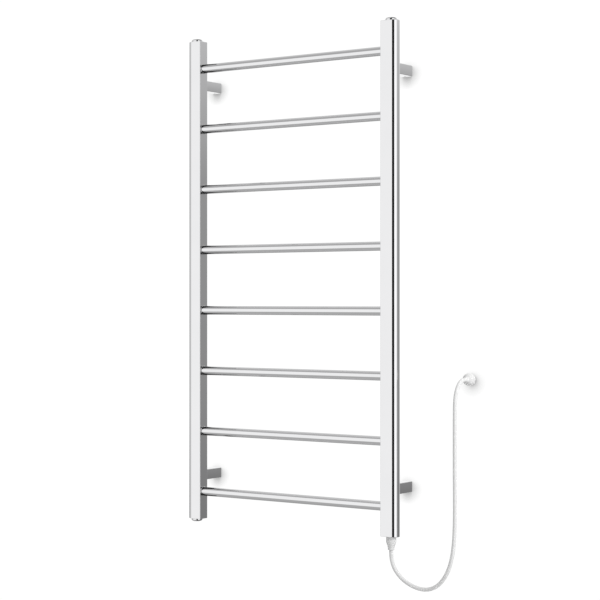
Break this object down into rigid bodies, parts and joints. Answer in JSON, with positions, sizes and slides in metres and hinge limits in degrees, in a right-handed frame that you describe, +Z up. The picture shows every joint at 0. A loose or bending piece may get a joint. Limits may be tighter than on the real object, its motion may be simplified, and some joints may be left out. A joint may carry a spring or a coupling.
{
  "type": "towel warmer rack",
  "caption": "Wall-mounted electric towel warmer: two D-section posts, round heated rungs, arms that slide on wall bases, and a mains lead with a moulded plug.",
  "frame": {"origin": "middle of the rectangle of the four wall screws, on the wall's face", "axes": "+Y into the wall and -Y towards the room; +X along the wall, to the right for someone facing the wall, where the lead is; +Z up"},
  "size_m": [0.7585, 0.129, 1.2885],
  "materials": {
    "chrome_post": "polished chrome plate",
    "chrome_rung": "polished chrome plate, drawn tube",
    "chrome_cap": "polished chrome plate, turned",
    "chrome_arm": "polished chrome plate",
    "zinc": "die-cast zinc, plain",
    "steel": "zinc-plated steel",
    "brass": "pressed brass",
    "copper": "tinned copper crimp",
    "cable_silicone": "silicone rubber",
    "sleeve_white": "glass-fibre sleeve",
    "wire_black": "wire insulation",
    "wire_white": "wire insulation",
    "wire_green": "wire insulation",
    "white_plastic": "moulded, semi-gloss",
    "plug_white": "moulded, semi-gloss",
    "cord_white": "smooth vinyl jacket"
  },
  "bodies": {
    "wall_mount": {"wall_base_upper_left": "zinc", "wall_base_upper_right": "zinc", "wall_base_lower_left": "zinc", "wall_base_lower_right": "zinc", "wall_screws": "steel", "plug_body": "plug_white", "plug_core": "plug_white", "plug_blades": "brass", "ground_pin": "brass"},
    "rack": {"left_post": "chrome_post", "right_post": "chrome_post", "rung_1": "chrome_rung", "rung_2": "chrome_rung", "rung_3": "chrome_rung", "rung_4": "chrome_rung", "rung_5": "chrome_rung", "rung_6": "chrome_rung", "rung_7": "chrome_rung", "rung_8": "chrome_rung", "top_plate_left": "chrome_post", "top_plate_right": "chrome_post", "bottom_plate_left": "chrome_post", "bottom_plate_right": "chrome_post", "top_cap_left": "chrome_cap", "top_cap_right": "chrome_cap", "bottom_cap_left": "chrome_cap", "arm_upper_left": "chrome_arm", "arm_upper_right": "chrome_arm", "arm_lower_left": "chrome_arm", "arm_lower_right": "chrome_arm", "arm_bolts": "steel", "rivet_nuts": "steel", "heating_cable": "cable_silicone", "thermal_cutoff": "steel", "cutoff_sleeve": "sleeve_white", "wire_splices": "copper", "splice_sleeves": "cable_silicone", "live_wire": "wire_black", "neutral_wire": "wire_white", "ground_wire": "wire_green", "ground_lug": "copper", "ground_screw": "steel", "ground_nut": "steel", "gland_body": "white_plastic", "gland_nut": "white_plastic", "gland_seal": "cable_silicone", "cord_boot": "white_plastic", "cord_jacket_end": "cord_white", "mains_cord": "cord_white"},
    "lock_upper_left": {"lock_screw_upper_left": "steel"},
    "lock_upper_right": {"lock_screw_upper_right": "steel"},
    "lock_lower_left": {"lock_screw_lower_left": "steel"},
    "lock_lower_right": {"lock_screw_lower_right": "steel"}
  },
  "joints": [
    {"name": "rack_slide", "type": "slide", "parent": "wall_mount", "child": "rack", "axis": [0, -1, 0], "range_m": [0, 0.02]},
    {"name": "lock_turn_upper_left", "type": "hinge", "parent": "rack", "child": "lock_upper_left", "pos_m": [-0.276, -0.009, 0.466], "axis": [0, 0, -1], "range_deg": [0, 360]},
    {"name": "lock_turn_upper_right", "type": "hinge", "parent": "rack", "child": "lock_upper_right", "pos_m": [0.276, -0.009, 0.466], "axis": [0, 0, -1], "range_deg": [0, 360]},
    {"name": "lock_turn_lower_left", "type": "hinge", "parent": "rack", "child": "lock_lower_left", "pos_m": [-0.276, -0.009, -0.486], "axis": [0, 0, -1], "range_deg": [0, 360]},
    {"name": "lock_turn_lower_right", "type": "hinge", "parent": "rack", "child": "lock_lower_right", "pos_m": [0.276, -0.009, -0.486], "axis": [0, 0, -1], "range_deg": [0, 360]}
  ]
}
